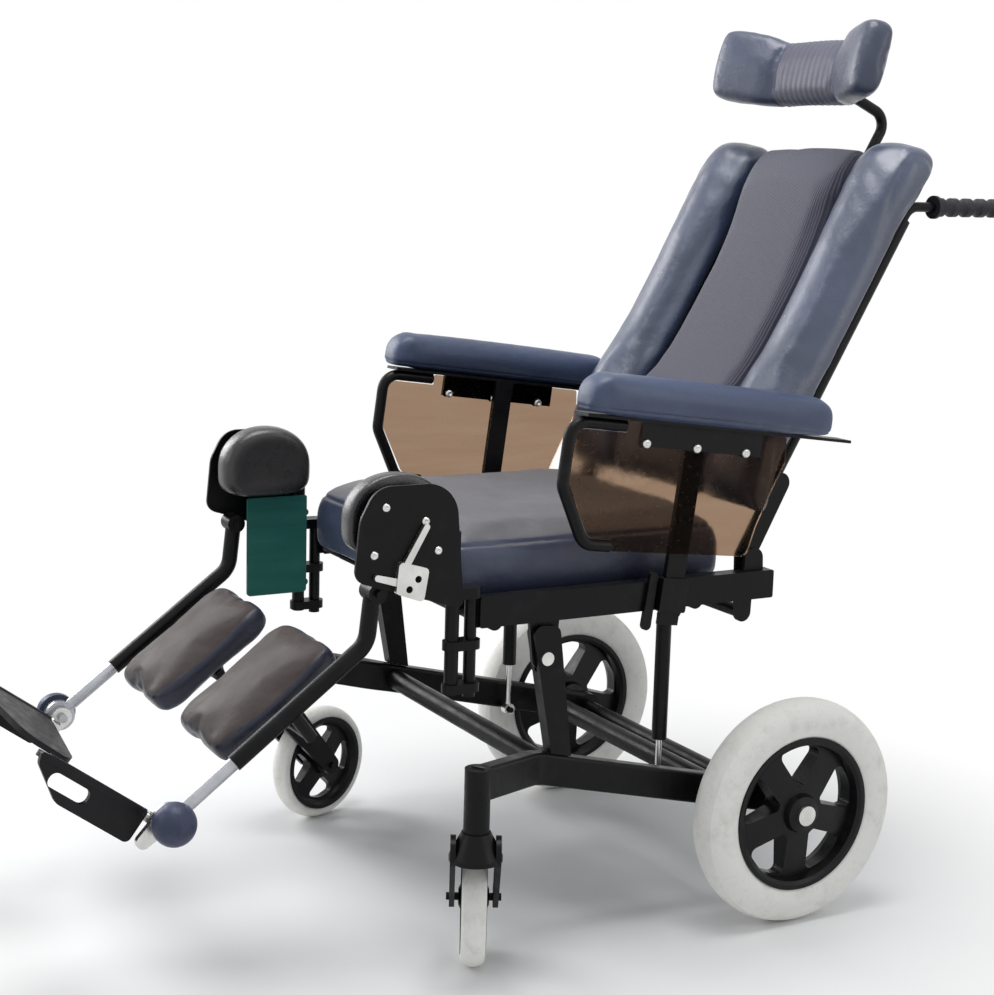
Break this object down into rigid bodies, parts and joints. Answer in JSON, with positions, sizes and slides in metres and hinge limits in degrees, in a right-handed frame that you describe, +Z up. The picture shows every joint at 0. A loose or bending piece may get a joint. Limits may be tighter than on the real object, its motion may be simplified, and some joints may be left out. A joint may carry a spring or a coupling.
{
  "type": "tilt in space wheelchair",
  "caption": "Attendant-pushed tilt-in-space wheelchair with reclining padded back, winged headrest, lift-off arm supports and elevating swing-away leg supports.",
  "frame": {"origin": "on the floor, under the middle of the box round the chair at rest, casters turned as in the picture; the chair's own middle plane is 18.56 mm to its left", "axes": "X to the user's left, Y to the rear along the chair, Z up"},
  "size_m": [0.7451, 1.418, 1.2464],
  "materials": {
    "tyre": null,
    "rim_plastic": null,
    "navy_vinyl": null,
    "ribbed_fabric": null,
    "slate_vinyl": null,
    "amber_panel": null,
    "green_panel": null,
    "grip_rubber": null,
    "bright_steel": null,
    "bare_aluminium": null,
    "plate_plastic": null,
    "board_black": null,
    "black_enamel": null
  },
  "bodies": {
    "base": {"base_beam_left": "black_enamel", "base_beam_right": "black_enamel", "front_crossbar": "black_enamel", "rear_crossbars": "black_enamel", "pivot_tower_left": "black_enamel", "pivot_tower_right": "black_enamel", "rear_axles": "bright_steel", "tilt_pins": "bright_steel"},
    "seat": {"seat_rail_left": "black_enamel", "seat_rail_right": "black_enamel", "seat_tubes": "black_enamel", "seat_pan": "board_black", "seat_cushion": "navy_vinyl", "recline_cylinder": "black_enamel"},
    "back": {"back_frame": "black_enamel", "back_shell": "board_black", "back_cushion": "ribbed_fabric", "back_bolster_left": "navy_vinyl", "back_bolster_right": "navy_vinyl", "push_grips": "grip_rubber"},
    "headrest_stem": {"head_stem": "black_enamel"},
    "headrest": {"head_cushion": "navy_vinyl"},
    "recline_rod": {"recline_rod": "bright_steel"},
    "rear_wheel_left": {"rear_tyre_left": "tyre", "rear_rim_left": "rim_plastic"},
    "caster_fork_left": {"caster_fork_left": "black_enamel"},
    "caster_wheel_left": {"caster_tyre_left": "tyre", "caster_rim_left": "rim_plastic"},
    "tilt_cylinder_left": {"tilt_cylinder_left": "black_enamel"},
    "tilt_rod_left": {"tilt_rod_left": "bright_steel"},
    "arm_left": {"arm_frame_left": "black_enamel", "arm_pad_left": "slate_vinyl", "arm_panel_left": "amber_panel"},
    "hanger_left": {"hanger_left": "black_enamel", "knee_pad_left": "navy_vinyl"},
    "release_lever_left": {"release_lever_left": "bright_steel"},
    "leg_left": {"leg_tube_left": "black_enamel"},
    "calf_left": {"calf_pad_left": "navy_vinyl"},
    "foot_tube_left": {"foot_tube_left": "bare_aluminium"},
    "foot_hinge_left": {"foot_hinge_left": "bright_steel"},
    "footplate_left": {"footplate_left": "plate_plastic"},
    "rear_wheel_right": {"rear_tyre_right": "tyre", "rear_rim_right": "rim_plastic"},
    "caster_fork_right": {"caster_fork_right": "black_enamel"},
    "caster_wheel_right": {"caster_tyre_right": "tyre", "caster_rim_right": "rim_plastic"},
    "tilt_cylinder_right": {"tilt_cylinder_right": "black_enamel"},
    "tilt_rod_right": {"tilt_rod_right": "bright_steel"},
    "arm_right": {"arm_frame_right": "black_enamel", "arm_pad_right": "slate_vinyl", "arm_panel_right": "amber_panel"},
    "hanger_right": {"hanger_right": "black_enamel", "knee_pad_right": "navy_vinyl", "leg_panel_right": "green_panel"},
    "release_lever_right": {"release_lever_right": "bright_steel"},
    "leg_right": {"leg_tube_right": "black_enamel"},
    "calf_right": {"calf_pad_right": "navy_vinyl"},
    "foot_tube_right": {"foot_tube_right": "bare_aluminium"},
    "foot_hinge_right": {"foot_hinge_right": "bright_steel"},
    "footplate_right": {"footplate_right": "plate_plastic"}
  },
  "joints": [
    {"name": "seat_tilt", "type": "hinge", "parent": "base", "child": "seat", "pos_m": [0.01856, -0.059, 0.4], "axis": [1, 0, 0], "range_deg": [-16, 0]},
    {"name": "back_recline", "type": "hinge", "parent": "seat", "child": "back", "pos_m": [0.01856, 0.27, 0.505], "axis": [1, 0, 0], "range_deg": [-15, 10]},
    {"name": "recline_rod_slide", "type": "slide", "parent": "seat", "child": "recline_rod", "axis": [0, 1, 0], "range_m": [-0.022, 0.015]},
    {"name": "headrest_height", "type": "slide", "parent": "back", "child": "headrest_stem", "axis": [0, 0.5, 0.866], "range_m": [-0.06, 0.08]},
    {"name": "headrest_angle", "type": "hinge", "parent": "headrest_stem", "child": "headrest", "pos_m": [0.01856, 0.56, 1.16114], "axis": [1, 0, 0], "range_deg": [-20, 20]},
    {"name": "rear_wheel_spin_left", "type": "hinge", "parent": "base", "child": "rear_wheel_left", "pos_m": [0.32556, 0.314, 0.1585], "axis": [1, 0, 0], "continuous": true},
    {"name": "caster_swivel_left", "type": "hinge", "parent": "base", "child": "caster_fork_left", "pos_m": [0.33856, -0.193, 0.209], "axis": [0, 0, 1], "continuous": true},
    {"name": "caster_spin_left", "type": "hinge", "parent": "caster_fork_left", "child": "caster_wheel_left", "pos_m": [0.26439, -0.15356, 0.089], "axis": [0.4695, 0.8829, 0], "continuous": true},
    {"name": "tilt_cylinder_swing_left", "type": "hinge", "parent": "seat", "child": "tilt_cylinder_left", "pos_m": [0.22956, 0.151, 0.44], "axis": [1, 0, 0], "range_deg": [-1, 16]},
    {"name": "tilt_rod_slide_left", "type": "slide", "parent": "tilt_cylinder_left", "child": "tilt_rod_left", "axis": [0, 0, 1], "range_m": [-0.001, 0.061]},
    {"name": "arm_height_left", "type": "slide", "parent": "seat", "child": "arm_left", "axis": [0, 0.1265, 0.992], "range_m": [-0.01, 0.04]},
    {"name": "hanger_swing_left", "type": "hinge", "parent": "seat", "child": "hanger_left", "pos_m": [0.26456, -0.169, 0.497], "axis": [0, 0, 1], "range_deg": [0, 90]},
    {"name": "release_lever_turn_left", "type": "hinge", "parent": "hanger_left", "child": "release_lever_left", "pos_m": [0.28056, -0.262, 0.522], "axis": [1, 0, 0], "range_deg": [-12, 12]},
    {"name": "leg_raise_left", "type": "hinge", "parent": "hanger_left", "child": "leg_left", "pos_m": [0.25456, -0.301, 0.507], "axis": [1, 0, 0], "range_deg": [-37, 25]},
    {"name": "calf_pad_turn_left", "type": "hinge", "parent": "leg_left", "child": "calf_left", "pos_m": [0.13556, -0.37984, 0.32914], "axis": [1, 0, 0], "range_deg": [-15, 15]},
    {"name": "leg_length_left", "type": "slide", "parent": "leg_left", "child": "foot_tube_left", "axis": [0, -0.7986, -0.6018], "range_m": [-0.03, 0.08]},
    {"name": "ankle_left", "type": "hinge", "parent": "foot_tube_left", "child": "foot_hinge_left", "pos_m": [0.25456, -0.56046, 0.25063], "axis": [1, 0, 0], "range_deg": [-20, 20]},
    {"name": "footplate_flip_left", "type": "hinge", "parent": "foot_hinge_left", "child": "footplate_left", "pos_m": [0.22456, -0.58287, 0.25229], "axis": [0, 0.8039, -0.5948], "range_deg": [0, 85]},
    {"name": "rear_wheel_spin_right", "type": "hinge", "parent": "base", "child": "rear_wheel_right", "pos_m": [-0.28844, 0.314, 0.1585], "axis": [1, 0, 0], "continuous": true},
    {"name": "caster_swivel_right", "type": "hinge", "parent": "base", "child": "caster_fork_right", "pos_m": [-0.30144, -0.193, 0.209], "axis": [0, 0, 1], "continuous": true},
    {"name": "caster_spin_right", "type": "hinge", "parent": "caster_fork_right", "child": "caster_wheel_right", "pos_m": [-0.33017, -0.11407, 0.089], "axis": [0.9397, 0.342, 0], "continuous": true},
    {"name": "tilt_cylinder_swing_right", "type": "hinge", "parent": "seat", "child": "tilt_cylinder_right", "pos_m": [-0.19244, 0.151, 0.44], "axis": [1, 0, 0], "range_deg": [-1, 16]},
    {"name": "tilt_rod_slide_right", "type": "slide", "parent": "tilt_cylinder_right", "child": "tilt_rod_right", "axis": [0, 0, 1], "range_m": [-0.001, 0.061]},
    {"name": "arm_height_right", "type": "slide", "parent": "seat", "child": "arm_right", "axis": [0, 0.1265, 0.992], "range_m": [-0.01, 0.04]},
    {"name": "hanger_swing_right", "type": "hinge", "parent": "seat", "child": "hanger_right", "pos_m": [-0.22744, -0.169, 0.497], "axis": [0, 0, 1], "range_deg": [-90, 0]},
    {"name": "release_lever_turn_right", "type": "hinge", "parent": "hanger_right", "child": "release_lever_right", "pos_m": [-0.24344, -0.262, 0.522], "axis": [1, 0, 0], "range_deg": [-12, 12]},
    {"name": "leg_raise_right", "type": "hinge", "parent": "hanger_right", "child": "leg_right", "pos_m": [-0.21744, -0.301, 0.507], "axis": [1, 0, 0], "range_deg": [-37, 25]},
    {"name": "calf_pad_turn_right", "type": "hinge", "parent": "leg_right", "child": "calf_right", "pos_m": [-0.09844, -0.37984, 0.32914], "axis": [1, 0, 0], "range_deg": [-15, 15]},
    {"name": "leg_length_right", "type": "slide", "parent": "leg_right", "child": "foot_tube_right", "axis": [0, -0.7986, -0.6018], "range_m": [-0.03, 0.08]},
    {"name": "ankle_right", "type": "hinge", "parent": "foot_tube_right", "child": "foot_hinge_right", "pos_m": [-0.21744, -0.56046, 0.25063], "axis": [1, 0, 0], "range_deg": [-20, 20]},
    {"name": "footplate_flip_right", "type": "hinge", "parent": "foot_hinge_right", "child": "footplate_right", "pos_m": [-0.18744, -0.58287, 0.25229], "axis": [0, -0.8039, 0.5948], "range_deg": [0, 85]}
  ],
  "couplings": [
    {"joint": "recline_rod_slide", "follows": "back_recline", "m_per_rad": 0.08},
    {"joint": "tilt_cylinder_swing_left", "follows": "seat_tilt", "ratio": -0.9191},
    {"joint": "tilt_rod_slide_left", "follows": "seat_tilt", "m_per_rad": -0.21276},
    {"joint": "tilt_cylinder_swing_right", "follows": "seat_tilt", "ratio": -0.9191},
    {"joint": "tilt_rod_slide_right", "follows": "seat_tilt", "m_per_rad": -0.21276}
  ]
}
